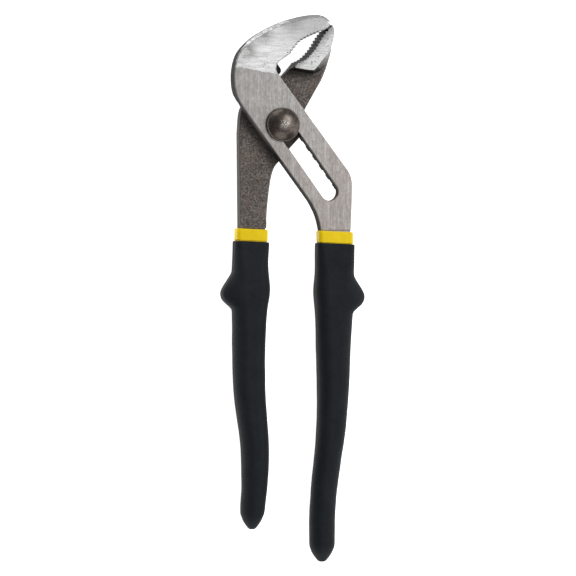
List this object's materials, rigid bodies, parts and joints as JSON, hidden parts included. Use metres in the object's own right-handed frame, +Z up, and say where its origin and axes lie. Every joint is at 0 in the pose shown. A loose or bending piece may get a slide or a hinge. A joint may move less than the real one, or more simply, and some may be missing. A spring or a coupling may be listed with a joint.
{
  "type": "groove-joint pliers",
  "caption": "Groove-joint pliers with offset toothed jaws, a slotted half and a tongued half on a domed pivot bolt, and dipped handles with a thumb bump and a coloured band.",
  "frame": {"origin": "on the pivot bolt's axis, at its plain end, flush with the nut's outer face, which is the lowest plane of the tool as it lies", "axes": "+Y along the tool from the handles to the jaws, +X across it towards the slotted half's handle, +Z up out of the face that the bolt's head is on"},
  "size_m": [0.0696, 0.2578, 0.0187],
  "materials": {
    "ground_steel": "satin ground faces with fine grind lines along the tool, brighter polish on the jaw",
    "forged_steel": "dark shot-blasted forging skin with a fine brown-grey speckle",
    "bolt_steel": "dark oiled steel, half glossy",
    "spring_steel": "plain spring steel",
    "yellow_dip": "smooth half-gloss plastisol",
    "black_dip": "matt plastisol with a fine grain"
  },
  "bodies": {
    "slotted_body": {"slotted_half": "ground_steel", "slotted_half_yellow_underlayer": "yellow_dip", "slotted_half_black_grip": "black_dip"},
    "pivot_body": {"pivot_bolt": "bolt_steel", "wave_washer": "spring_steel", "lock_nut": "bolt_steel"},
    "tongued_body": {"tongued_half": "forged_steel", "tongued_half_yellow_underlayer": "yellow_dip", "tongued_half_black_grip": "black_dip"}
  },
  "joints": [
    {"name": "groove_slide", "type": "slide", "parent": "slotted_body", "child": "pivot_body", "axis": [0.5864, -0.81, 0], "range_m": [0, 0.033]},
    {"name": "handle_pivot", "type": "hinge", "parent": "pivot_body", "child": "tongued_body", "pos_m": [0, 0, 0], "axis": [0, 0, -1], "range_deg": [0, 36]}
  ]
}
